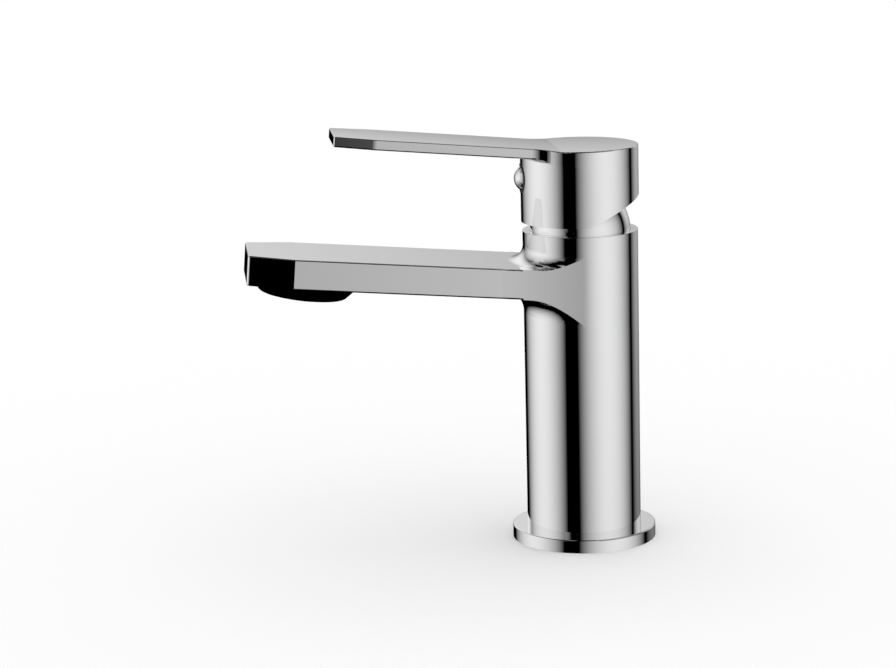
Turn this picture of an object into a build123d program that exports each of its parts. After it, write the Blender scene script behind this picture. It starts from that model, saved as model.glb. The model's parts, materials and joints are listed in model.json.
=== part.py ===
"""Single-lever bathroom mixer: column with a flat spout, lever handle and ceramic cartridge.

Millimetres. The origin is the centre of the foot on the deck, +Z is up, and the spout points to -Y.
"""

import os
from math import acos, asin, cos, radians, sin, sqrt, tan

from build123d import *

# Column and foot
rim_height = 110.1
rim_land = 2.6
rim_edge_round = 0.1
column_wall = 3.8
base_lip = 5.15
base_height = 4.6
base_edge_round = 0.4
spigot_wall = 2.3
spigot_height = 4.0
base_seal_land = 2.3
base_seal_width = 3.2
base_seal_depth = 1.6

# Spout: a flat bar that rises from the column and narrows at its tip
spout_tilt = 5.0
spout_drop = 12.35
spout_thickness = 10.4
spout_inset = 1.37
spout_reach = 116.5
spout_tip_length = 15.9
spout_tip_taper = 4.4
spout_flare_radius = 313.0
spout_flare_bite = 0.01
spout_top_fillet = 5.0
spout_under_fillet = 8.2
spout_edge_round = 0.65
spout_corner_round = 1.1
spout_wall = 2.4
spout_split = 2.5

# Outlet under the spout's tip
outlet_setback = 20.3
outlet_lean = 3.4
boss_radius = 18.9
boss_depth = 4.5
boss_taper = 42.0
boss_cheek_taper = 18.0
boss_edge_round = 2.1
aerator_radius = 12.0
aerator_wall = 1.1
aerator_lip = 0.8
aerator_reveal = 0.5
aerator_seat_depth = 1.4
aerator_seat_width = 2.4
aerator_washer_thickness = 1.2
aerator_key_count = 4
aerator_key_width = 1.6
aerator_key_depth = 0.6
diffuser_plate = 1.0
diffuser_wall = 1.2
jet_count = 16
jet_radius = 0.6
grid_thickness = 1.2
grid_hole = 1.5
grid_pitch = 2.1

# Lever handle: a round hub with a flat blade
hub_overhang = 0.4
hub_gap = 3.2
hub_height = 26.4
hub_wall = 2.2
hub_roof = 5.0
hub_back_slope = 24.0
blade_tilt = 5.5
blade_drop = 0.85
blade_thickness = 3.6
blade_inset = 5.75
blade_reach = 85.9
blade_tip_length = 13.8
blade_tip_taper = 2.3
blade_flare_radius = 12.0
blade_flare_bite = 0.04
blade_under_fillet = 1.2
blade_edge_round = 0.4
blade_under_round = 0.55
blade_corner_round = 0.7
blade_kink_round = 8.0

# Index plug with its rubber ring, and the grub screw, in the front of the hub
plug_share = 0.58
plug_radius = 4.3
plug_ring_width = 0.8
plug_ring_rise = 0.25
plug_seat_depth = 2.1
plug_bulge = 2.4
plug_spigot_radius = 3.15
plug_spigot_length = 1.8
screw_radius = 2.5
screw_gap = 0.5
screw_key_width = 2.5
screw_key_depth = 2.5
screw_boss_wall = 2.0

# Stem, pivot and lift
pivot_drop = 0.5
lift_angle = 24.0
stem_width = 6.0
stem_depth = 7.0
stem_rod_radius = 2.3
stem_shoulder = 4.0
ball_radius = 3.0
ball_drop = 12.0
pin_radius = 1.5
pin_half_length = 7.4
socket_boss_radius = 6.0
socket_boss_start = 14.0

# Dome cover and the nut under it
dome_wall = 1.2
dome_skirt = 3.6
dome_opening_angle = 38.0
dome_ring_thickness = 0.9
dome_ring_height = 1.3
nut_wall = 3.0
thread_step = 0.8
nut_thread_length = 6.2
nut_collar_height = 3.0
nut_slot_width = 3.0
nut_slot_count = 4
nut_slot_depth = 1.6

# Cartridge
cartridge_radius = 12.5
housing_wall = 1.1
housing_roof = 1.4
housing_neck_wall = 2.0
housing_neck_height = 8.5
carrier_rim = 0.5
carrier_thickness = 5.0
carrier_half_width = 6.5
moving_disc_thickness = 3.0
moving_disc_recess = 1.2
fixed_disc_thickness = 3.5
cartridge_base_height = 6.6
cartridge_base_flange = 2.5
rotor_neck_radius = 8.2
rotor_flange = 2.5
rotor_rise = 4.4
rotor_leg_width = 2.6
rotor_leg_length = 12.0
rotor_slot_length = 12.6
stop_ring_height = 1.8
stop_lug_drop = 1.3
stop_lug_angle = 10.0
turn_angle = 50.0
turn_margin = 2.0
peg_radius = 1.2
peg_length = 2.0
peg_position = (8.5, -4.5)

# Water ways, inlet sockets and the stud socket
port_radius = 2.4
port_seal_width = 1.0
port_seal_height = 1.2
inlet_port = (5.0, 3.6)
outlet_port = (0.0, -5.4)
inlet_thread_radius = 4.5
inlet_thread_depth = 14.0
inlet_shift = 1.5
stud_thread_radius = 3.4
stud_thread_depth = 14.0
stud_offset = 9.0
gallery_drop = 9.0
gallery_height = 4.6
gallery_width = 9.0
gallery_depth = 3.6
gallery_wall = 1.4
inlet_block = 18.0
waterway_side_wall = 4.5

# Clearances
close_fit = 0.05
slip_fit = 0.1
loose_fit = 0.3

# Derived sizes of the outside
body_radius = cartridge_radius + nut_wall + thread_step + dome_wall + rim_land
base_radius = body_radius + base_lip
dome_radius = body_radius - rim_land
hub_radius = body_radius + hub_overhang
spout_half_width = body_radius - spout_inset
spout_top_height = rim_height - spout_drop
blade_half_width = hub_radius - blade_inset
hub_bottom = rim_height + hub_gap
hub_top = hub_bottom + hub_height
hub_cavity_radius = hub_radius - hub_wall
hub_ceiling = hub_top - hub_roof
blade_top_height = hub_top - blade_drop
plug_height = hub_bottom + plug_share * hub_height
pivot_height = rim_height - pivot_drop
stem_lean = lift_angle / 2
ball_throw = ball_drop * sin(radians(stem_lean))

# Derived heights of the cartridge, from the pivot down
ball_low = pivot_height - ball_drop
carrier_top = ball_low + carrier_rim
carrier_bottom = carrier_top - carrier_thickness
moving_disc_bottom = carrier_bottom - moving_disc_thickness
fixed_disc_bottom = moving_disc_bottom - fixed_disc_thickness
chamber_floor = fixed_disc_bottom - cartridge_base_height
flange_bottom = carrier_top + 3 * loose_fit
flange_top = flange_bottom + rotor_flange
housing_ceiling = flange_top + slip_fit
housing_shoulder = housing_ceiling + housing_roof
housing_top = housing_shoulder + housing_neck_height
housing_bottom = chamber_floor + cartridge_base_flange
rotor_top = pivot_height + rotor_rise
cover_seat = rim_height - pivot_drop - dome_skirt
nut_top = cover_seat + loose_fit + nut_collar_height
nut_bottom = cover_seat - nut_thread_length

# Derived radii of the cartridge, from the outside in
chamber_radius = cartridge_radius + slip_fit
cover_bore_radius = dome_radius + slip_fit
dome_inner_radius = dome_radius - dome_wall
thread_radius = cartridge_radius + nut_wall
thread_bore_radius = thread_radius + slip_fit
nut_collar_radius = dome_inner_radius - 4 * slip_fit
dome_groove_radius = dome_inner_radius - slip_fit - dome_ring_thickness
housing_bore_radius = cartridge_radius - housing_wall
housing_neck_bore = rotor_neck_radius + close_fit
housing_neck_radius = rotor_neck_radius + housing_neck_wall
fixed_disc_radius = housing_bore_radius - slip_fit
moving_disc_radius = housing_bore_radius - ball_throw - loose_fit
rotor_flange_radius = housing_bore_radius - 2 * slip_fit
well_radius = body_radius - column_wall
base_hole_radius = well_radius - slip_fit - spigot_wall
gallery_floor = chamber_floor - gallery_drop
well_top = gallery_floor - inlet_block
gallery_inner = chamber_radius + gallery_wall
gallery_outer = gallery_inner + gallery_depth


def level(height, seam=(0, 1, 0)):
    """Horizontal plane whose circles start and end on the seam's side, which is the back by itself."""
    return Plane(origin=(0, 0, height), x_dir=seam, z_dir=(0, 0, 1))


def bar_side(height, tilt):
    """Side plane of a rising bar: x runs out along the bar, y is square to its top face."""
    slope = radians(tilt)
    return Plane(origin=(0, 0, height), x_dir=(0, -cos(slope), sin(slope)), z_dir=(-1, 0, 0))


def bar_plans(round_radius, half_width, reach, flare_radius, flare_bite, fillet_radius, edge_round):
    """Plan of a bar that flares into a round: the round with its root, the bar from the join on, the join."""
    flare_distance = round_radius + flare_radius - flare_bite
    flare_start = sqrt(flare_distance**2 - (half_width + flare_radius) ** 2)
    flare_angle = asin(flare_start / flare_distance)
    touch_cos = (flare_distance**2 + round_radius**2 - flare_radius**2) / (2 * flare_distance * round_radius)
    touch_angle = flare_angle + acos(touch_cos)
    touch = (round_radius * cos(touch_angle), -round_radius * sin(touch_angle))
    root_inset = 3 * edge_round
    join = sqrt((round_radius + fillet_radius) ** 2 - (half_width - root_inset) ** 2)
    root_end = round_radius + 2 * fillet_radius

    def flare_point(distance):
        offset = sqrt(flare_radius**2 - (flare_start - distance) ** 2)
        return (half_width + flare_radius - offset, -distance)

    join_point = flare_point(join)
    with BuildSketch() as root:
        with BuildLine():
            ThreePointArc(touch, (0, round_radius), (-touch[0], touch[1]))
            flare = ThreePointArc(touch, flare_point((join - touch[1]) / 2), join_point)
            inner = Polyline(
                join_point,
                (join_point[0] - root_inset, -join),
                (half_width - root_inset, -root_end),
                (0, -root_end),
            )
            mirror(flare, about=Plane.YZ)
            mirror(inner, about=Plane.YZ)
        make_face()
    with BuildSketch() as bar:
        with BuildLine():
            flare = ThreePointArc(
                join_point, flare_point((join + flare_start) / 2), (half_width, -flare_start)
            )
            side = Polyline((half_width, -flare_start), (half_width, -reach), (0, -reach))
            mirror(flare, about=Plane.YZ)
            mirror(side, about=Plane.YZ)
            Line(join_point, (-join_point[0], -join))
        make_face()
    return root.sketch, bar.sketch, join


def tip_wedges(side, half_width, taper, tip_length, reach):
    """The two wedges that narrow a bar's tip, drawn on its top face."""
    top = Plane(origin=side.origin, x_dir=side.x_dir, z_dir=side.y_dir)
    with BuildSketch(top) as wedges:
        with BuildLine():
            Polyline(
                (reach - tip_length, half_width),
                (reach + tip_length, half_width - 2 * taper),
                (reach + tip_length, 2 * half_width),
                close=True,
            )
        make_face()
        mirror(about=Plane.XZ)
    return wedges.sketch


# The spout's planes and plans
spout_side = bar_side(spout_top_height, spout_tilt)
spout_root_plan, spout_bar_plan, spout_join = bar_plans(
    body_radius,
    spout_half_width,
    spout_reach + spout_thickness,
    spout_flare_radius,
    spout_flare_bite,
    spout_under_fillet,
    spout_edge_round,
)
outlet_origin = spout_side.from_local_coords((spout_reach - outlet_setback, -spout_thickness, 0))
outlet_side = bar_side(spout_top_height, spout_tilt + outlet_lean)
outlet_plane = Plane(origin=outlet_origin, x_dir=outlet_side.x_dir, z_dir=-outlet_side.y_dir)

# The spout bar by itself, with its edges rounded
with BuildPart() as spout_bar:
    extrude(spout_bar_plan, amount=2 * rim_height)
    with BuildSketch(spout_side):
        Rectangle(spout_reach, spout_thickness, align=(Align.MIN, Align.MAX))
    extrude(amount=base_radius, both=True, mode=Mode.INTERSECT)
    spout_wedges = tip_wedges(spout_side, spout_half_width, spout_tip_taper, spout_tip_length, spout_reach)
    extrude(spout_wedges, amount=2 * spout_thickness, both=True, mode=Mode.SUBTRACT)
    end_face = spout_bar.faces().sort_by(Axis.Y)[0]
    corners = end_face.edges().filter_by(Axis.X, reverse=True)
    fillet(corners, radius=spout_corner_round)
    flats = spout_bar.faces().filter_by(GeomType.PLANE).sort_by(SortBy.AREA)[-2:]
    rims = flats.edges().filter_by(lambda edge: edge.center().Y < -spout_join - close_fit)
    fillet(rims, radius=spout_edge_round)

# The outlet's boss, which hangs within the flat of the bar's underside
underside_origin = spout_side.from_local_coords((0, -spout_thickness, 0))
spout_underside = Plane(origin=underside_origin, x_dir=spout_side.x_dir, z_dir=-spout_side.y_dir)
boss_root = boss_radius * tan(radians(outlet_lean)) + loose_fit
with BuildPart() as outlet_boss:
    with BuildSketch(outlet_plane.offset(-boss_root)):
        Circle(boss_radius + boss_root * tan(radians(boss_taper)))
    extrude(amount=boss_root + boss_depth, taper=boss_taper)
    fillet(outlet_boss.faces().sort_by(Axis.Z)[0].edges(), radius=boss_edge_round)
    with BuildSketch(spout_underside):
        with BuildLine():
            half_outline = Polyline(
                (0, spout_half_width),
                (spout_reach - spout_tip_length, spout_half_width),
                (spout_reach, spout_half_width - spout_tip_taper),
                (spout_reach, 0),
            )
            mirror(half_outline, about=Plane.XZ)
            Line((0, spout_half_width), (0, -spout_half_width))
        make_face()
        offset(amount=-spout_edge_round - close_fit, kind=Kind.INTERSECTION, mode=Mode.REPLACE)
    extrude(amount=2 * boss_depth, taper=boss_cheek_taper, mode=Mode.INTERSECT)

# The outlet way: down from the chamber, forward, and up a riser to the spout
with BuildPart() as outlet_way:
    with BuildSketch(Plane.XY.offset(gallery_floor)):
        with Locations(outlet_port):
            Circle(port_radius)
    extrude(amount=gallery_drop)
    with BuildSketch(Plane.XY.offset(gallery_floor)):
        with Locations((0, -gallery_outer)):
            Rectangle(
                gallery_width, gallery_outer + outlet_port[1] + port_radius, align=(Align.CENTER, Align.MIN)
            )
    extrude(amount=gallery_height)
    with BuildSketch(Plane.XY.offset(gallery_floor)):
        with Locations((0, -gallery_outer)):
            Rectangle(gallery_width, gallery_depth, align=(Align.CENTER, Align.MIN))
    extrude(amount=spout_top_height - spout_thickness / 2 - gallery_floor)

with BuildPart() as casting:
    # Column and spout root, blended above and below
    with BuildSketch(level(base_height)):
        Circle(body_radius)
    extrude(amount=rim_height - base_height)
    with BuildSketch(spout_side):
        Rectangle(2 * spout_reach, spout_thickness, align=(Align.CENTER, Align.MAX))
    extrude(amount=2 * body_radius, both=True)
    fillet(casting.edges().filter_by(GeomType.ELLIPSE).sort_by(Axis.Z)[-1], radius=spout_top_fillet)
    fillet(casting.edges().filter_by(GeomType.ELLIPSE).sort_by(Axis.Z)[0], radius=spout_under_fillet)
    extrude(spout_root_plan, amount=rim_height, mode=Mode.INTERSECT)
    add(spout_bar.part)
    fillet(casting.faces().sort_by(Axis.Z)[-1].edges(), radius=rim_edge_round)
    add(outlet_boss.part)
    # Well for the inlet block, and the stepped bore for the cartridge, its nut and the dome
    for floor, radius, ceiling in (
        (base_height, well_radius, chamber_floor),
        (chamber_floor, chamber_radius, rim_height),
        (nut_bottom - loose_fit, thread_bore_radius, rim_height),
        (cover_seat, cover_bore_radius, rim_height),
    ):
        with BuildSketch(level(floor)):
            Circle(radius)
        extrude(amount=ceiling - floor, mode=Mode.SUBTRACT)
    # Riser and the way along the spout
    add(outlet_way.part, mode=Mode.SUBTRACT)
    with BuildSketch(spout_side):
        with Locations((gallery_inner, -spout_thickness / 2)):
            Rectangle(
                spout_reach - outlet_setback + aerator_radius - gallery_inner,
                spout_thickness - 2 * spout_wall,
                align=(Align.MIN, Align.CENTER),
            )
    extrude(amount=spout_half_width - waterway_side_wall, both=True, mode=Mode.SUBTRACT)
    # Aerator bore with its seat
    with BuildSketch(outlet_plane.offset(-aerator_seat_depth)):
        Circle(aerator_radius + close_fit)
    extrude(amount=aerator_seat_depth + boss_depth, mode=Mode.SUBTRACT)
    with BuildSketch(outlet_plane.offset(-spout_wall)):
        Circle(aerator_radius - aerator_seat_width)
    extrude(amount=spout_wall, mode=Mode.SUBTRACT)

# The casting in two lengths, which meet where the spout leaves its root
casting_split = Plane.XZ.offset(body_radius + spout_under_fillet + spout_split)

with BuildPart() as column_casting:
    add(casting.part)
    split(bisect_by=casting_split, keep=Keep.BOTTOM)

with BuildPart() as spout_casting:
    add(casting.part)
    split(bisect_by=casting_split, keep=Keep.TOP)

with BuildPart() as inlet_block:
    with BuildSketch(level(well_top)):
        Circle(well_radius - close_fit)
    extrude(amount=chamber_floor - well_top)
    # Hose sockets with their ports, the stud socket, and holes for the cartridge's pegs
    with BuildSketch(Plane.XY.offset(well_top)):
        for sign in (-1, 1):
            with Locations((sign * (inlet_port[0] + inlet_shift), inlet_port[1])):
                Circle(inlet_thread_radius)
    extrude(amount=inlet_thread_depth, mode=Mode.SUBTRACT)
    with BuildSketch(Plane.XY.offset(well_top)):
        for sign in (-1, 1):
            with Locations((sign * inlet_port[0], inlet_port[1])):
                Circle(port_radius)
    extrude(amount=chamber_floor - well_top, mode=Mode.SUBTRACT)
    with BuildSketch(Plane.XY.offset(well_top)):
        with Locations((0, -stud_offset)):
            Circle(stud_thread_radius)
    extrude(amount=stud_thread_depth, mode=Mode.SUBTRACT)
    with BuildSketch(Plane.XY.offset(chamber_floor)):
        for sign in (-1, 1):
            with Locations((sign * peg_position[0], peg_position[1])):
                Circle(peg_radius + close_fit)
    extrude(amount=-(peg_length + loose_fit), mode=Mode.SUBTRACT)
    add(outlet_way.part, mode=Mode.SUBTRACT)

with BuildPart() as base_ring:
    with BuildSketch(level(0)):
        Circle(base_radius)
    extrude(amount=base_height)
    fillet(base_ring.faces().sort_by(Axis.Z)[-1].edges(), radius=base_edge_round)
    with BuildSketch(level(base_height)):
        Circle(well_radius - slip_fit)
    extrude(amount=spigot_height)
    with BuildSketch(level(0)):
        Circle(base_hole_radius)
    extrude(amount=base_height + spigot_height, mode=Mode.SUBTRACT)
    with BuildSketch(level(0)):
        Circle(base_radius - base_seal_land)
        Circle(base_radius - base_seal_land - base_seal_width, mode=Mode.SUBTRACT)
    extrude(amount=base_seal_depth, mode=Mode.SUBTRACT)

with BuildPart() as base_seal:
    with BuildSketch(level(0)):
        Circle(base_radius - base_seal_land - slip_fit)
        Circle(base_radius - base_seal_land - base_seal_width + slip_fit, mode=Mode.SUBTRACT)
    extrude(amount=base_seal_depth)

# Aerator, stacked along the outlet from its seat to the rim of the shell
washer_end = aerator_washer_thickness - aerator_seat_depth
shell_end = boss_depth + aerator_reveal
grid_start = shell_end - aerator_lip - grid_thickness
shell_bore = aerator_radius - aerator_wall

with BuildPart() as aerator_washer:
    with BuildSketch(outlet_plane.offset(-aerator_seat_depth)):
        Circle(aerator_radius)
        Circle(aerator_radius - aerator_seat_width, mode=Mode.SUBTRACT)
    extrude(amount=aerator_washer_thickness)

with BuildPart() as aerator_shell:
    with BuildSketch(outlet_plane.offset(washer_end)):
        Circle(aerator_radius)
    extrude(amount=shell_end - washer_end)
    fillet(aerator_shell.faces().sort_by(Axis.Z)[0].edges(), radius=aerator_reveal)
    with BuildSketch(outlet_plane.offset(washer_end)):
        Circle(shell_bore)
    extrude(amount=shell_end - aerator_lip - washer_end, mode=Mode.SUBTRACT)
    with BuildSketch(outlet_plane.offset(washer_end)):
        Circle(shell_bore - aerator_lip)
    extrude(amount=shell_end - washer_end, mode=Mode.SUBTRACT)
    with BuildSketch(outlet_plane.offset(shell_end - aerator_key_depth)):
        with PolarLocations(shell_bore - aerator_lip / 2, aerator_key_count):
            Rectangle(2 * aerator_lip, aerator_key_width)
    extrude(amount=aerator_key_depth, mode=Mode.SUBTRACT)

with BuildPart() as aerator_diffuser:
    with BuildSketch(outlet_plane.offset(washer_end)):
        Circle(shell_bore - slip_fit)
    extrude(amount=grid_start - washer_end)
    with BuildSketch(outlet_plane.offset(washer_end + diffuser_plate)):
        Circle(shell_bore - slip_fit - diffuser_wall)
    extrude(amount=grid_start - washer_end - diffuser_plate, mode=Mode.SUBTRACT)
    with BuildSketch(outlet_plane.offset(washer_end)):
        with PolarLocations(aerator_radius - aerator_seat_width - 2 * jet_radius, jet_count):
            Circle(jet_radius)
    extrude(amount=diffuser_plate, mode=Mode.SUBTRACT)

grid_radius = shell_bore - slip_fit
grid_span = int(2 * grid_radius / grid_pitch)
with BuildPart() as aerator_grid:
    with BuildSketch(outlet_plane.offset(grid_start)):
        Circle(grid_radius)
        with GridLocations(grid_pitch, grid_pitch, grid_span, grid_span) as cells:
            kept = [
                cell.position
                for cell in cells.local_locations
                if cell.position.length + grid_hole < grid_radius - aerator_lip
            ]
        with Locations(*kept):
            Rectangle(grid_hole, grid_hole, mode=Mode.SUBTRACT)
    extrude(amount=grid_thickness)

# Ports shared by the cartridge base, its seals and the fixed disc
ports = [(-inlet_port[0], inlet_port[1]), inlet_port, outlet_port]
seal_radius = port_radius + port_seal_width

with BuildPart() as cartridge_base:
    with BuildSketch(level(chamber_floor)):
        Circle(cartridge_radius)
    extrude(amount=cartridge_base_flange)
    with BuildSketch(level(chamber_floor)):
        Circle(fixed_disc_radius)
    extrude(amount=cartridge_base_height)
    with BuildSketch(Plane.XY.offset(chamber_floor)):
        for sign in (-1, 1):
            with Locations((sign * peg_position[0], peg_position[1])):
                Circle(peg_radius)
    extrude(amount=-peg_length)
    with BuildSketch(Plane.XY.offset(chamber_floor)):
        with Locations(*ports):
            Circle(port_radius)
    extrude(amount=cartridge_base_height, mode=Mode.SUBTRACT)
    for recess in (chamber_floor, fixed_disc_bottom - port_seal_height):
        with BuildSketch(Plane.XY.offset(recess)):
            with Locations(*ports):
                Circle(seal_radius)
        extrude(amount=port_seal_height, mode=Mode.SUBTRACT)

with BuildPart() as floor_seals:
    with BuildSketch(Plane.XY.offset(chamber_floor)):
        with Locations(*ports):
            Circle(seal_radius - close_fit)
            Circle(port_radius, mode=Mode.SUBTRACT)
    extrude(amount=port_seal_height)

with BuildPart() as disc_seals:
    with BuildSketch(Plane.XY.offset(fixed_disc_bottom - port_seal_height)):
        with Locations(*ports):
            Circle(seal_radius - close_fit)
            Circle(port_radius, mode=Mode.SUBTRACT)
    extrude(amount=port_seal_height)

with BuildPart() as fixed_disc:
    with BuildSketch(level(fixed_disc_bottom)):
        Circle(fixed_disc_radius)
    extrude(amount=fixed_disc_thickness)
    with BuildSketch(Plane.XY.offset(fixed_disc_bottom)):
        with Locations(*ports):
            Circle(port_radius)
    extrude(amount=fixed_disc_thickness, mode=Mode.SUBTRACT)

with BuildPart() as moving_disc:
    with BuildSketch(Plane.XY.offset(moving_disc_bottom)):
        with Locations((0, ball_throw)):
            Circle(moving_disc_radius)
    extrude(amount=moving_disc_thickness)
    with BuildSketch(Plane.XY.offset(moving_disc_bottom)):
        with Locations((0, ball_throw)):
            SlotOverall(2 * (moving_disc_radius - port_radius), 2 * port_radius, rotation=90)
    extrude(amount=moving_disc_recess, mode=Mode.SUBTRACT)

with BuildPart() as disc_carrier:
    with BuildSketch(Plane.XY.offset(carrier_bottom)):
        with Locations((0, ball_throw)):
            Circle(moving_disc_radius)
            Rectangle(2 * carrier_half_width, 2 * moving_disc_radius, mode=Mode.INTERSECT)
    extrude(amount=carrier_thickness)
    with BuildSketch(Plane.XY.offset(ball_low - ball_radius - 2 * slip_fit)):
        with Locations((0, ball_throw)):
            Circle(ball_radius + slip_fit)
    extrude(amount=carrier_rim + ball_radius + 2 * slip_fit, mode=Mode.SUBTRACT)

with BuildPart() as cartridge_housing:
    with BuildSketch(level(housing_bottom)):
        Circle(cartridge_radius)
    extrude(amount=housing_shoulder - housing_bottom)
    with BuildSketch(level(housing_shoulder)):
        Circle(housing_neck_radius)
    extrude(amount=housing_neck_height)
    with BuildSketch(level(housing_bottom)):
        Circle(housing_bore_radius)
    extrude(amount=housing_ceiling - housing_bottom, mode=Mode.SUBTRACT)
    with BuildSketch(level(housing_ceiling)):
        Circle(housing_neck_bore)
    extrude(amount=housing_top - housing_ceiling, mode=Mode.SUBTRACT)
    # Arc slot at the back of the rim, where the stop lug travels
    slot_angle = radians(turn_angle + turn_margin + stop_lug_angle)
    slot_reach = 2 * housing_neck_radius
    with BuildSketch(Plane.XY.offset(housing_top - stop_lug_drop - loose_fit)):
        with BuildLine():
            Polyline(
                (0, 0),
                (slot_reach * sin(slot_angle), slot_reach * cos(slot_angle)),
                (slot_reach * sin(slot_angle), slot_reach),
                (-slot_reach * sin(slot_angle), slot_reach),
                (-slot_reach * sin(slot_angle), slot_reach * cos(slot_angle)),
                close=True,
            )
        make_face()
    extrude(amount=stop_lug_drop + loose_fit, mode=Mode.SUBTRACT)

with BuildPart() as rotor:
    with BuildSketch(level(flange_bottom)):
        Circle(rotor_flange_radius)
    extrude(amount=rotor_flange)
    with BuildSketch(level(flange_top)):
        Circle(rotor_neck_radius)
    extrude(amount=rotor_top - flange_top)
    # Legs that guide the carrier by its flats
    with BuildSketch(Plane.XY.offset(carrier_bottom + 2 * loose_fit)):
        for sign in (-1, 1):
            with Locations((sign * (carrier_half_width + slip_fit + rotor_leg_width / 2), 0)):
                Rectangle(rotor_leg_width, rotor_leg_length)
    extrude(amount=flange_bottom - carrier_bottom - 2 * loose_fit)
    with BuildSketch(Plane.XY.offset(flange_bottom)):
        Rectangle(stem_width + 2 * slip_fit, rotor_slot_length)
    extrude(amount=rotor_top - flange_bottom, mode=Mode.SUBTRACT)
    with BuildSketch(Plane.YZ):
        with Locations((0, pivot_height)):
            Circle(pin_radius)
    extrude(amount=pin_half_length, both=True, mode=Mode.SUBTRACT)

with BuildPart() as pivot_pin:
    with BuildSketch(Plane.YZ):
        with Locations((0, pivot_height)):
            Circle(pin_radius)
    extrude(amount=pin_half_length, both=True)

with BuildPart() as stop_ring:
    ring_bottom = housing_top + slip_fit
    with BuildSketch(level(ring_bottom)):
        Circle(housing_neck_radius - slip_fit)
        Circle(rotor_neck_radius + close_fit, mode=Mode.SUBTRACT)
    extrude(amount=stop_ring_height)
    lug_reach = housing_neck_radius * cos(radians(stop_lug_angle))
    with BuildSketch(Plane.XY.offset(ring_bottom)):
        with BuildLine():
            Polyline(
                (0, 0),
                (2 * lug_reach * tan(radians(stop_lug_angle)), 2 * lug_reach),
                (-2 * lug_reach * tan(radians(stop_lug_angle)), 2 * lug_reach),
                close=True,
            )
        make_face()
        Circle(housing_neck_radius - slip_fit, mode=Mode.INTERSECT)
        Circle(rotor_neck_radius + 2 * slip_fit, mode=Mode.SUBTRACT)
    extrude(amount=-stop_lug_drop)

with BuildPart() as retaining_nut:
    with BuildSketch(level(nut_bottom)):
        Circle(thread_radius)
    extrude(amount=nut_thread_length)
    with BuildSketch(level(cover_seat)):
        Circle(dome_groove_radius)
    extrude(amount=nut_top - cover_seat)
    collar_flange = (nut_collar_height - dome_ring_height - 2 * slip_fit) / 2
    for collar_bottom in (cover_seat + loose_fit, nut_top - collar_flange):
        with BuildSketch(level(collar_bottom)):
            Circle(nut_collar_radius)
        extrude(amount=collar_flange)
    with BuildSketch(level(nut_bottom)):
        Circle(cartridge_radius + slip_fit)
    extrude(amount=housing_shoulder - nut_bottom, mode=Mode.SUBTRACT)
    with BuildSketch(level(housing_shoulder)):
        Circle(housing_neck_radius + slip_fit)
    extrude(amount=nut_top - housing_shoulder, mode=Mode.SUBTRACT)
    slot_middle = (housing_neck_radius + dome_groove_radius) / 2
    with BuildSketch(Plane.XY.offset(nut_top - nut_slot_depth)):
        with PolarLocations(slot_middle, nut_slot_count):
            Rectangle(nut_slot_width, nut_slot_width)
    extrude(amount=nut_slot_depth, mode=Mode.SUBTRACT)

with BuildPart() as dome_ring:
    with BuildSketch(level(cover_seat + loose_fit + collar_flange + slip_fit)):
        Circle(dome_groove_radius + dome_ring_thickness)
        Circle(dome_groove_radius + close_fit, mode=Mode.SUBTRACT)
    extrude(amount=dome_ring_height)

with BuildPart() as dome_cover:
    with BuildSketch(Plane.YZ):
        opening = radians(dome_opening_angle)
        middle = (opening + radians(90)) / 2
        with BuildLine():
            outer_top = (dome_radius * sin(opening), pivot_height + dome_radius * cos(opening))
            inner_top = (dome_inner_radius * sin(opening), pivot_height + dome_inner_radius * cos(opening))
            ThreePointArc(
                (dome_radius, pivot_height),
                (dome_radius * sin(middle), pivot_height + dome_radius * cos(middle)),
                outer_top,
            )
            Line(outer_top, inner_top)
            ThreePointArc(
                inner_top,
                (dome_inner_radius * sin(middle), pivot_height + dome_inner_radius * cos(middle)),
                (dome_inner_radius, pivot_height),
            )
            Polyline(
                (dome_inner_radius, pivot_height),
                (dome_inner_radius, cover_seat),
                (dome_radius, cover_seat),
                (dome_radius, pivot_height),
            )
        make_face()
    revolve(axis=Axis.Z)

# Stem: square bar above the pivot, round rod and ball below it
lean = radians(stem_lean)
stem_plane = Plane(origin=(0, 0, pivot_height), x_dir=(1, 0, 0), z_dir=(0, -sin(lean), cos(lean)))
socket_end = (hub_ceiling - pivot_height) / cos(lean)

with BuildPart() as stem:
    with BuildSketch(stem_plane.offset(-stem_shoulder)):
        Rectangle(stem_width, stem_depth)
    extrude(amount=stem_shoulder + socket_end - loose_fit)
    with BuildSketch(stem_plane.offset(-ball_drop)):
        Circle(stem_rod_radius)
    extrude(amount=ball_drop - stem_shoulder)
    with Locations(stem_plane.offset(-ball_drop)):
        Sphere(ball_radius)
    with BuildSketch(Plane.YZ):
        with Locations((0, pivot_height)):
            Circle(pin_radius + close_fit)
    extrude(amount=stem_width, both=True, mode=Mode.SUBTRACT)

# Front of the hub: planes of the plug and the grub screw, and the plug's ring
plug_seat = hub_radius - plug_seat_depth
stem_front = (plug_height - pivot_height) * tan(lean) + stem_depth / 2 / cos(lean)
screw_tip = stem_front + screw_radius * tan(lean) + close_fit
screw_length = plug_seat - plug_spigot_length - screw_gap - screw_tip
plug_ring_bore = plug_radius + close_fit
plug_ring_radius = plug_ring_bore + plug_ring_width
plug_ring_face = hub_radius + plug_ring_rise


def front_plane(distance):
    """Plane at the plug's height, this far in front of the hub's axis and facing forward."""
    return Plane(origin=(0, -distance, plug_height), x_dir=(1, 0, 0), z_dir=(0, -1, 0))


# The lever's plans and the blade by itself, with its edges rounded
blade_side = bar_side(blade_top_height, blade_tilt)
blade_cos = cos(radians(blade_tilt))
hub_plan, blade_plan, blade_join = bar_plans(
    hub_radius,
    blade_half_width,
    blade_reach + blade_thickness,
    blade_flare_radius,
    blade_flare_bite,
    blade_under_fillet,
    blade_edge_round,
)
handle_height = 2 * hub_top

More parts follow.
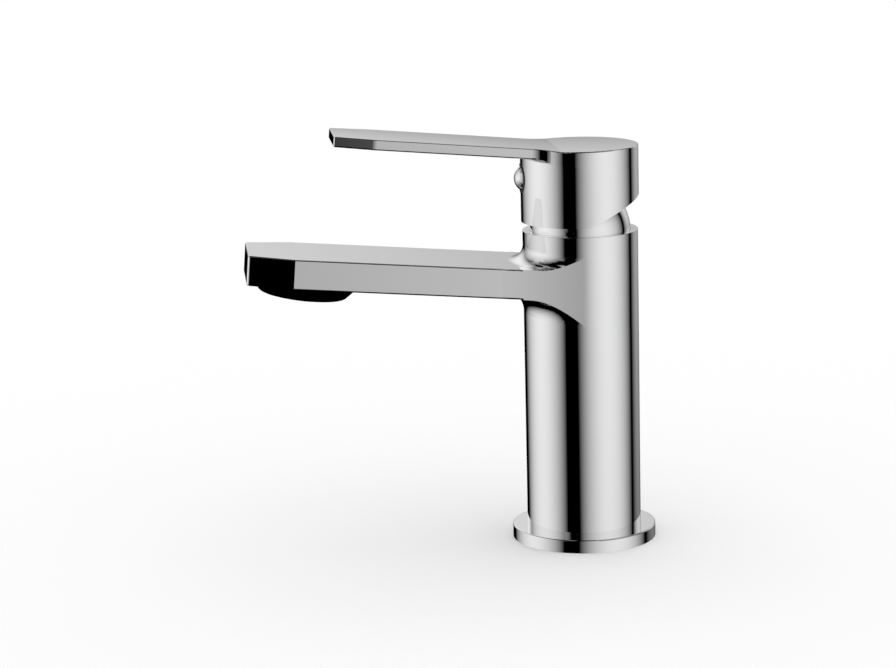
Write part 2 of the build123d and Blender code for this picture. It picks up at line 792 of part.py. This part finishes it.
with BuildPart() as blade:
    extrude(blade_plan, amount=handle_height)
    with BuildSketch(blade_side):
        Rectangle(blade_reach, blade_thickness, align=(Align.MIN, Align.MAX))
    extrude(amount=hub_radius, both=True, mode=Mode.INTERSECT)
    blade_wedges = tip_wedges(blade_side, blade_half_width, blade_tip_taper, blade_tip_length, blade_reach)
    extrude(blade_wedges, amount=2 * blade_thickness, both=True, mode=Mode.SUBTRACT)
    upright = Axis(blade_side.origin, blade_side.y_dir)
    kinks = blade.edges().filter_by(upright).sort_by(Axis.Y)[2:4]
    fillet(kinks, radius=blade_kink_round)
    end_face = blade.faces().sort_by(Axis.Y)[0]
    fillet(end_face.edges().filter_by(Axis.X, reverse=True), radius=blade_corner_round)
    underside = blade.faces().filter_by(GeomType.PLANE).sort_by(SortBy.AREA)[-2:].sort_by(Axis.Z)[0]
    rims = underside.edges().filter_by(lambda edge: edge.center().Y < -blade_join - close_fit)
    fillet(rims, radius=blade_under_round)

with BuildPart() as lever_handle:
    # Hub with the root of the blade
    with BuildSketch(level(hub_bottom, seam=(-1, 0, 0))):
        Circle(hub_radius)
    extrude(amount=hub_height)
    with BuildSketch(blade_side):
        Rectangle(2 * blade_reach, blade_thickness, align=(Align.CENTER, Align.MAX))
    extrude(amount=2 * hub_radius, both=True)
    under_edge = lever_handle.edges().filter_by(GeomType.ELLIPSE).sort_by(Axis.Z)[0]
    fillet(under_edge, radius=blade_under_fillet)
    extrude(hub_plan, amount=handle_height, mode=Mode.INTERSECT)
    add(blade.part)
    tops = lever_handle.faces().filter_by(lambda face: face.normal_at().Z > blade_cos - close_fit)
    rims = tops.edges().filter_by(
        lambda edge: edge.geom_type != GeomType.LINE or edge.center().Z > hub_top + close_fit
    )
    fillet(rims, radius=blade_edge_round)
    # Sloping back edge, which stays clear of the rim when the lever lifts
    with BuildSketch(Plane.YZ):
        with BuildLine():
            Polyline(
                (0, hub_bottom),
                (2 * hub_radius, hub_bottom + 2 * hub_radius * tan(radians(hub_back_slope))),
                (2 * hub_radius, hub_bottom),
                close=True,
            )
        make_face()
    extrude(amount=2 * hub_radius, both=True, mode=Mode.SUBTRACT)
    # Hollow with the stem's socket and the boss of the grub screw
    with BuildSketch(level(hub_bottom)):
        Circle(hub_cavity_radius)
    extrude(amount=hub_ceiling - hub_bottom, mode=Mode.SUBTRACT)
    with BuildSketch(stem_plane.offset(socket_boss_start)):
        Circle(socket_boss_radius)
    extrude(amount=socket_end - socket_boss_start + hub_roof / 2)
    with BuildSketch(front_plane(stem_front)):
        Circle(screw_radius + screw_boss_wall)
    extrude(amount=hub_cavity_radius - stem_front)
    with BuildSketch(stem_plane.offset(socket_boss_start)):
        Rectangle(stem_width + 2 * close_fit, stem_depth + 2 * close_fit)
    extrude(amount=socket_end - socket_boss_start, mode=Mode.SUBTRACT)
    with BuildSketch(front_plane(stem_front)):
        Circle(screw_radius + close_fit)
    extrude(amount=plug_seat - stem_front, mode=Mode.SUBTRACT)
    with BuildSketch(front_plane(plug_seat - plug_spigot_length - loose_fit)):
        Circle(plug_spigot_radius + close_fit)
    extrude(amount=plug_spigot_length + loose_fit, mode=Mode.SUBTRACT)
    with BuildSketch(front_plane(plug_seat)):
        Circle(plug_ring_radius + close_fit)
    extrude(amount=2 * plug_seat_depth, mode=Mode.SUBTRACT)

with BuildPart() as grub_screw:
    with BuildSketch(front_plane(screw_tip)):
        Circle(screw_radius)
    extrude(amount=screw_length)
    with BuildSketch(front_plane(screw_tip + screw_length - screw_key_depth)):
        RegularPolygon(screw_key_width / 2, 6, major_radius=False)
    extrude(amount=screw_key_depth, mode=Mode.SUBTRACT)

# Rubber ring round the plug, a little proud of the hub
with BuildPart() as plug_ring:
    with BuildSketch(front_plane(plug_seat)):
        Circle(plug_ring_radius)
        Circle(plug_ring_bore, mode=Mode.SUBTRACT)
    extrude(amount=plug_seat_depth + plug_ring_rise)
    with BuildSketch(level(hub_bottom)):
        Circle(plug_ring_face)
    extrude(amount=hub_height, mode=Mode.INTERSECT)

# Index plug: spigot, head and a domed face that starts at the ring
head_edge = sqrt(plug_ring_face**2 - plug_radius**2)
dome_rise = hub_radius + plug_bulge - head_edge
dome_curve = (plug_radius**2 + dome_rise**2) / (2 * dome_rise)

with BuildPart() as index_plug:
    with BuildSketch(front_plane(plug_seat - plug_spigot_length)):
        Circle(plug_spigot_radius)
    extrude(amount=plug_spigot_length)
    with BuildSketch(front_plane(plug_seat)):
        Circle(plug_radius)
    extrude(amount=plug_seat_depth + plug_bulge)
    with Locations(front_plane(head_edge + dome_rise - dome_curve)):
        Sphere(dome_curve, mode=Mode.INTERSECT)

pieces = {
    "base_ring": base_ring,
    "base_seal": base_seal,
    "column_casting": column_casting,
    "spout_casting": spout_casting,
    "inlet_block": inlet_block,
    "aerator_washer": aerator_washer,
    "aerator_shell": aerator_shell,
    "aerator_diffuser": aerator_diffuser,
    "aerator_grid": aerator_grid,
    "cartridge_base": cartridge_base,
    "floor_seals": floor_seals,
    "disc_seals": disc_seals,
    "fixed_disc": fixed_disc,
    "cartridge_housing": cartridge_housing,
    "retaining_nut": retaining_nut,
    "dome_ring": dome_ring,
    "dome_cover": dome_cover,
    "rotor": rotor,
    "pivot_pin": pivot_pin,
    "stop_ring": stop_ring,
    "disc_carrier": disc_carrier,
    "moving_disc": moving_disc,
    "stem": stem,
    "lever_handle": lever_handle,
    "grub_screw": grub_screw,
    "index_plug": index_plug,
    "plug_ring": plug_ring,
}

os.makedirs("parts", exist_ok=True)
for name, piece in pieces.items():
    piece.part.label = name
    export_step(piece.part, f"parts/{name}.step")
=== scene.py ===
import json
import math
from typing import NamedTuple

import bpy
from mathutils import Matrix, Vector

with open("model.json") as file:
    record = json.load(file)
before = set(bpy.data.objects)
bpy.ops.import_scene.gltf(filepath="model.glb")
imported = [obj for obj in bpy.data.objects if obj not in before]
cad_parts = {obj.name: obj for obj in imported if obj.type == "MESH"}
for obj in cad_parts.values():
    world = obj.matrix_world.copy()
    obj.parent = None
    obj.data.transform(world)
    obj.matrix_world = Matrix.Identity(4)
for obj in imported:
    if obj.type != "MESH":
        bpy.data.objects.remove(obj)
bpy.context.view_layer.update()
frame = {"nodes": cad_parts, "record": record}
scene = bpy.context.scene
scene.view_settings.view_transform = "Standard"

# Camera: where it stands and looks, in metres, in the part's frame
CAMERA_PLACE = (0.9017, -0.1406, 0.2613)
CAMERA_FORWARD = (-0.97427, 0.10100, -0.20151)
CAMERA_RIGHT = (0.10798, 0.99386, -0.02394)
CAMERA_NEAR = 0.01
CAMERA_FAR = 50.0

# Lens: the sensor in millimetres, and the focal length in pixels of a picture of this width
SENSOR_WIDTH = 36.0
PICTURE_WIDTH = 896
FOCAL_PIXELS = 2651.2

# Floor and backdrop
FLOOR_HALF_SIZE = 6.0
FLOOR_COLOUR = (1.0, 1.0, 1.0)
BACKDROP_COLOUR = (1.0, 1.0, 1.0)
OPAQUE = 1.0

# Noise: its detail, and the values between which most of it lies
NOISE_DETAIL = 3.0
STREAK_DETAIL = 2.0
NOISE_LOW = 0.3
NOISE_HIGH = 0.7

# In the finishes below, colours are linear, noise scales count spots in a metre, and depths are in metres

# Polished chrome
CHROME_DEEP = (0.905, 0.907, 0.912)
CHROME_LIGHT = (0.930, 0.930, 0.932)
CHROME_SMOOTH = 0.012
CHROME_ROUGH = 0.04
CHROME_CLOUD_SCALE = 55.0
CHROME_POLISH_SCALE = 140.0
CHROME_RIPPLE_SCALE = 700.0
CHROME_RIPPLE_DETAIL = 1.0
CHROME_RIPPLE_DEPTH = 2e-7

# Crown of the lever's top: its radius across the width, and the least Z of the normal of a face that is top
CROWN_RADIUS = 0.69
TOP_NORMAL_Z = 0.9

# Turned brass
BRASS_DEEP = (0.60, 0.42, 0.19)
BRASS_LIGHT = (0.78, 0.61, 0.33)
BRASS_SMOOTH = 0.22
BRASS_ROUGH = 0.40
BRASS_PATCH_SCALE = 120.0
BRASS_RING_SCALE = (40.0, 40.0, 2600.0)
BRASS_RING_DEPTH = 4e-5

# Ground steel
STEEL_DEEP = (0.52, 0.52, 0.53)
STEEL_LIGHT = (0.66, 0.66, 0.67)
STEEL_SMOOTH = 0.20
STEEL_ROUGH = 0.36
STEEL_PATCH_SCALE = 200.0
STEEL_STROKE_SCALE = (300.0, 4200.0, 4200.0)
STEEL_STROKE_DEPTH = 2e-5

# Black rubber
RUBBER_DEEP = (0.020, 0.020, 0.021)
RUBBER_LIGHT = (0.045, 0.045, 0.047)
RUBBER_SMOOTH = 0.52
RUBBER_ROUGH = 0.72
RUBBER_BLOOM_SCALE = 180.0
RUBBER_GRAIN_SCALE = 2400.0
RUBBER_GRAIN_DEPTH = 3e-5

# Moulded plastics
WHITE_DEEP = (0.78, 0.78, 0.755)
WHITE_LIGHT = (0.86, 0.86, 0.84)
GREY_DEEP = (0.36, 0.38, 0.40)
GREY_LIGHT = (0.44, 0.46, 0.48)
RED_DEEP = (0.54, 0.045, 0.04)
RED_LIGHT = (0.66, 0.08, 0.06)
PLASTIC_SMOOTH = 0.34
PLASTIC_ROUGH = 0.50
PLASTIC_PATCH_SCALE = 150.0
PLASTIC_GRAIN_SCALE = 3200.0
PLASTIC_GRAIN_DEPTH = 2e-5

# Lapped ceramic
CERAMIC_DEEP = (0.80, 0.78, 0.73)
CERAMIC_LIGHT = (0.92, 0.90, 0.87)
CERAMIC_SMOOTH = 0.10
CERAMIC_ROUGH = 0.20
CERAMIC_SPECKLE_SCALE = 5200.0
CERAMIC_LAP_SCALE = 260.0
CERAMIC_SPECKLE_DEPTH = 5e-6


class Softbox(NamedTuple):
    """A soft light around the part. Angles are in degrees, and azimuth turns from +X towards +Y."""

    azimuth: float
    half_width: float
    elevation: float
    half_height: float
    # Brightness in the middle
    peak: float
    # How sharply it ends above and below
    edge: float
    # 1 for square corners, 0 for an oval
    square: float


# How sharply every softbox ends at its sides
SIDE_EDGE = 2.0

SOFTBOXES = (
    # Past the spout's tip, for the left half of the column
    Softbox(azimuth=-99, half_width=59.5, elevation=0, half_height=56, peak=0.91, edge=2.0, square=0.0),
    # On the camera's side, for the right half of the column and the spout's side
    Softbox(azimuth=44.5, half_width=61.5, elevation=0, half_height=35, peak=0.85, edge=4.0, square=1.0),
    # Behind the part, for the column's right edge
    Softbox(azimuth=139, half_width=27.5, elevation=12, half_height=33, peak=0.67, edge=2.0, square=1.0),
    # Behind the part, for the flat tops
    Softbox(azimuth=-172, half_width=33, elevation=22, half_height=28, peak=0.945, edge=2.0, square=1.0),
    # For the flat tops seen from behind, with the lever down and lifted
    Softbox(azimuth=-49, half_width=13, elevation=15, half_height=14, peak=0.24, edge=2.0, square=1.0),
    Softbox(azimuth=-50, half_width=18, elevation=66, half_height=10, peak=0.42, edge=2.0, square=1.0),
    # For the flat tops seen from above
    Softbox(azimuth=95, half_width=66, elevation=63, half_height=25, peak=0.42, edge=4.0, square=1.0),
    Softbox(azimuth=-136, half_width=19, elevation=62, half_height=24, peak=0.42, edge=4.0, square=1.0),
    # For the upright faces seen from above
    Softbox(azimuth=52, half_width=36, elevation=-45, half_height=19, peak=0.42, edge=4.0, square=1.0),
)

# Sockets that share their name with others of the same node, so that they are found by number
MIX_FACTOR = 0
MIX_FIRST_COLOUR = 6
MIX_SECOND_COLOUR = 7
MIX_COLOUR_RESULT = 2
FIRST_SHADER = 1
SECOND_SHADER = 2


class Nodes:
    """Adds and joins the nodes of one shader tree."""

    def __init__(self, tree):
        self.tree = tree
        tree.nodes.clear()

    def put(self, socket, value):
        """Links another socket to this one, or sets its value."""
        if isinstance(value, bpy.types.NodeSocket):
            self.tree.links.new(value, socket)
        else:
            socket.default_value = value

    def add(self, kind, inputs=None, **settings):
        node = self.tree.nodes.new(kind)
        for name, value in settings.items():
            setattr(node, name, value)
        for name, value in (inputs or {}).items():
            self.put(node.inputs[name], value)
        return node

    def math(self, operation, first, second=0.0, clamp=False):
        node = self.add("ShaderNodeMath", {0: first, 1: second}, operation=operation, use_clamp=clamp)
        return node.outputs[0]

    def place(self):
        return self.add("ShaderNodeTexCoord").outputs["Object"]

    def noise(self, vector, scale=1.0, detail=NOISE_DETAIL):
        node = self.add("ShaderNodeTexNoise", {"Vector": vector, "Scale": scale, "Detail": detail})
        return node.outputs["Fac"]

    def streaks(self, vector, scale):
        """Noise with its own scale along each axis."""
        scaled = self.add("ShaderNodeMapping", {"Vector": vector, "Scale": scale}).outputs["Vector"]
        return self.noise(scaled, detail=STREAK_DETAIL)

    def between(self, noise, low, high):
        """Turns noise into values from low to high."""
        source = {"Value": noise, "From Min": NOISE_LOW, "From Max": NOISE_HIGH}
        node = self.add("ShaderNodeMapRange", {**source, "To Min": low, "To Max": high})
        return node.outputs["Result"]

    def blend(self, factor, first, second):
        colours = {MIX_FIRST_COLOUR: (*first, OPAQUE), MIX_SECOND_COLOUR: (*second, OPAQUE)}
        node = self.add("ShaderNodeMix", {MIX_FACTOR: factor, **colours}, data_type="RGBA")
        return node.outputs[MIX_COLOUR_RESULT]

    def bump(self, height, depth=1.0, normal=None):
        """Normal of a relief, whose height times its depth is in metres."""
        node = self.add("ShaderNodeBump", {"Height": height, "Distance": depth})
        if normal:
            self.put(node.inputs["Normal"], normal)
        return node.outputs["Normal"]


def new_material(name):
    """A material with an empty principled shader: its nodes and that shader."""
    made = bpy.data.materials.new(name)
    made.use_nodes = True
    nodes = Nodes(made.node_tree)
    shader = nodes.add("ShaderNodeBsdfPrincipled")
    nodes.add("ShaderNodeOutputMaterial", {"Surface": shader.outputs["BSDF"]})
    return made, nodes, shader


def dress(nodes, shader, **inputs):
    """Sets or links the shader's inputs; a name's underscores stand for spaces."""
    for name, value in inputs.items():
        nodes.put(shader.inputs[name.replace("_", " ")], value)


def crown(nodes, radius):
    """Normal of an upward face that is rounded across X to a large radius."""
    where = nodes.add("ShaderNodeTexCoord")
    across = nodes.add("ShaderNodeSeparateXYZ", {"Vector": where.outputs["Object"]}).outputs["X"]
    rise = nodes.add("ShaderNodeSeparateXYZ", {"Vector": where.outputs["Normal"]}).outputs["Z"]
    drop = nodes.math("MULTIPLY", nodes.math("MULTIPLY", across, across), -1 / (2 * radius))
    on_top = nodes.math("GREATER_THAN", rise, TOP_NORMAL_Z)
    return nodes.bump(nodes.math("MULTIPLY", drop, on_top))


def polished_chrome(name, crown_radius=None):
    """Mirror plating: faint cloudiness in the polish and a very fine ripple."""
    made, nodes, shader = new_material(name)
    place = nodes.place()
    base = crown(nodes, crown_radius) if crown_radius else None
    cloud = nodes.noise(place, CHROME_CLOUD_SCALE)
    polish = nodes.noise(place, CHROME_POLISH_SCALE)
    ripple = nodes.noise(place, CHROME_RIPPLE_SCALE, CHROME_RIPPLE_DETAIL)
    dress(
        nodes,
        shader,
        Metallic=1.0,
        Base_Color=nodes.blend(cloud, CHROME_DEEP, CHROME_LIGHT),
        Roughness=nodes.between(polish, CHROME_SMOOTH, CHROME_ROUGH),
        Normal=nodes.bump(ripple, CHROME_RIPPLE_DEPTH, base),
    )
    return made


def turned_brass():
    """Raw brass with the fine rings of the lathe and a few duller patches."""
    made, nodes, shader = new_material("turned_brass")
    place = nodes.place()
    patches = nodes.noise(place, BRASS_PATCH_SCALE)
    rings = nodes.streaks(place, BRASS_RING_SCALE)
    dress(
        nodes,
        shader,
        Metallic=1.0,
        Base_Color=nodes.blend(patches, BRASS_DEEP, BRASS_LIGHT),
        Roughness=nodes.between(rings, BRASS_SMOOTH, BRASS_ROUGH),
        Normal=nodes.bump(rings, BRASS_RING_DEPTH),
    )
    return made


def ground_steel():
    """Stainless steel with short grinding strokes."""
    made, nodes, shader = new_material("steel")
    place = nodes.place()
    patches = nodes.noise(place, STEEL_PATCH_SCALE)
    strokes = nodes.streaks(place, STEEL_STROKE_SCALE)
    dress(
        nodes,
        shader,
        Metallic=1.0,
        Base_Color=nodes.blend(patches, STEEL_DEEP, STEEL_LIGHT),
        Roughness=nodes.between(strokes, STEEL_SMOOTH, STEEL_ROUGH),
        Normal=nodes.bump(strokes, STEEL_STROKE_DEPTH),
    )
    return made


def black_rubber():
    """Moulded rubber: dull, a little bloom on it and a fine grain."""
    made, nodes, shader = new_material("black_rubber")
    place = nodes.place()
    bloom = nodes.noise(place, RUBBER_BLOOM_SCALE)
    grain = nodes.noise(place, RUBBER_GRAIN_SCALE)
    dress(
        nodes,
        shader,
        Base_Color=nodes.blend(bloom, RUBBER_DEEP, RUBBER_LIGHT),
        Roughness=nodes.between(grain, RUBBER_SMOOTH, RUBBER_ROUGH),
        Normal=nodes.bump(grain, RUBBER_GRAIN_DEPTH),
    )
    return made


def moulded_plastic(name, deep, light):
    """Injection-moulded plastic: a satin skin with a fine spark-eroded grain."""
    made, nodes, shader = new_material(name)
    place = nodes.place()
    patches = nodes.noise(place, PLASTIC_PATCH_SCALE)
    grain = nodes.noise(place, PLASTIC_GRAIN_SCALE)
    dress(
        nodes,
        shader,
        Base_Color=nodes.blend(patches, deep, light),
        Roughness=nodes.between(grain, PLASTIC_SMOOTH, PLASTIC_ROUGH),
        Normal=nodes.bump(grain, PLASTIC_GRAIN_DEPTH),
    )
    return made


def lapped_ceramic():
    """Alumina: pale, finely speckled and lapped to a soft shine."""
    made, nodes, shader = new_material("disc_ceramic")
    place = nodes.place()
    speckle = nodes.noise(place, CERAMIC_SPECKLE_SCALE)
    lapping = nodes.noise(place, CERAMIC_LAP_SCALE)
    dress(
        nodes,
        shader,
        Base_Color=nodes.blend(speckle, CERAMIC_DEEP, CERAMIC_LIGHT),
        Roughness=nodes.between(lapping, CERAMIC_SMOOTH, CERAMIC_ROUGH),
        Normal=nodes.bump(speckle, CERAMIC_SPECKLE_DEPTH),
    )
    return made


def softbox_glow(nodes, direction, box):
    """Brightness of a softbox in a direction: full in its middle, and falling to nothing at its edge."""
    turned = nodes.add(
        "ShaderNodeVectorRotate",
        {"Vector": direction, "Angle": -math.radians(box.azimuth)},
        rotation_type="Z_AXIS",
    )
    parts = nodes.add("ShaderNodeSeparateXYZ", {"Vector": turned.outputs["Vector"]})
    turn = nodes.math("ARCTAN2", parts.outputs["Y"], parts.outputs["X"])
    rise = nodes.math("SUBTRACT", nodes.math("ARCSINE", parts.outputs["Z"]), math.radians(box.elevation))
    across = nodes.math("ABSOLUTE", nodes.math("DIVIDE", turn, math.radians(box.half_width)))
    along = nodes.math("ABSOLUTE", nodes.math("DIVIDE", rise, math.radians(box.half_height)))
    side_loss = nodes.math("POWER", across, SIDE_EDGE, clamp=True)
    end_loss = nodes.math("POWER", along, box.edge, clamp=True)
    loss = nodes.math("ADD", side_loss, end_loss)
    corner = nodes.math("MULTIPLY", nodes.math("MULTIPLY", side_loss, end_loss), box.square)
    kept = nodes.math("SUBTRACT", nodes.math("ADD", 1.0, corner), loss, clamp=True)
    return nodes.math("MULTIPLY", kept, box.peak)


def build_studio():
    """White for the eye and for soft light; shiny metal sees the softboxes in a dark room."""
    world = bpy.data.worlds.new("studio")
    world.use_nodes = True
    nodes = Nodes(world.node_tree)
    direction = nodes.add("ShaderNodeTexCoord").outputs["Generated"]
    glow = 0.0
    for box in SOFTBOXES:
        glow = nodes.math("MAXIMUM", softbox_glow(nodes, direction, box), glow)
    boxes = nodes.add("ShaderNodeBackground", {"Color": glow}).outputs["Background"]
    backdrop = nodes.add("ShaderNodeBackground", {"Color": (*BACKDROP_COLOUR, OPAQUE)}).outputs["Background"]
    glossy = nodes.add("ShaderNodeLightPath").outputs["Is Glossy Ray"]
    seen = nodes.add("ShaderNodeMixShader", {"Fac": glossy, FIRST_SHADER: backdrop, SECOND_SHADER: boxes})
    nodes.add("ShaderNodeOutputWorld", {"Surface": seen.outputs["Shader"]})
    scene.world = world


def build_camera():
    """A camera at the photograph's viewing angle."""
    lens = bpy.data.cameras.new("camera")
    lens.sensor_width = SENSOR_WIDTH
    lens.lens = FOCAL_PIXELS / PICTURE_WIDTH * SENSOR_WIDTH
    lens.clip_start = CAMERA_NEAR
    lens.clip_end = CAMERA_FAR
    camera = bpy.data.objects.new("camera", lens)
    scene.collection.objects.link(camera)
    forward = Vector(CAMERA_FORWARD).normalized()
    right = Vector(CAMERA_RIGHT)
    right = (right - forward * right.dot(forward)).normalized()
    up = right.cross(forward)
    turn = Matrix((right, up, -forward)).transposed().to_4x4()
    camera.matrix_world = Matrix.Translation(CAMERA_PLACE) @ turn
    scene.camera = camera


def build_floor():
    """A plain white floor, which the polished metal doesn't mirror."""
    half = FLOOR_HALF_SIZE
    corners = [(-half, -half, 0), (half, -half, 0), (half, half, 0), (-half, half, 0)]
    mesh = bpy.data.meshes.new("floor")
    mesh.from_pydata(corners, [], [(0, 1, 2, 3)])
    floor = bpy.data.objects.new("floor", mesh)
    scene.collection.objects.link(floor)
    made = bpy.data.materials.new("floor")
    made.use_nodes = True
    nodes = Nodes(made.node_tree)
    paint = nodes.add("ShaderNodeBsdfDiffuse", {"Color": (*FLOOR_COLOUR, OPAQUE)})
    nodes.add("ShaderNodeOutputMaterial", {"Surface": paint.outputs["BSDF"]})
    mesh.materials.append(made)
    floor.visible_glossy = False


build_camera()
build_studio()
build_floor()

# A finish for each material slot of the record
finishes = {
    "polished_chrome": polished_chrome("polished_chrome"),
    "turned_brass": turned_brass(),
    "steel": ground_steel(),
    "black_rubber": black_rubber(),
    "white_plastic": moulded_plastic("white_plastic", WHITE_DEEP, WHITE_LIGHT),
    "grey_plastic": moulded_plastic("grey_plastic", GREY_DEEP, GREY_LIGHT),
    "red_plastic": moulded_plastic("red_plastic", RED_DEEP, RED_LIGHT),
    "disc_ceramic": lapped_ceramic(),
}
for subpart in frame["record"]["subparts"]:
    piece = frame["nodes"][subpart["node"]]
    piece.data.materials.clear()
    piece.data.materials.append(finishes[subpart["material_slot"]])
frame["nodes"]["lever_handle"].data.materials[0] = polished_chrome("crowned_chrome", CROWN_RADIUS)
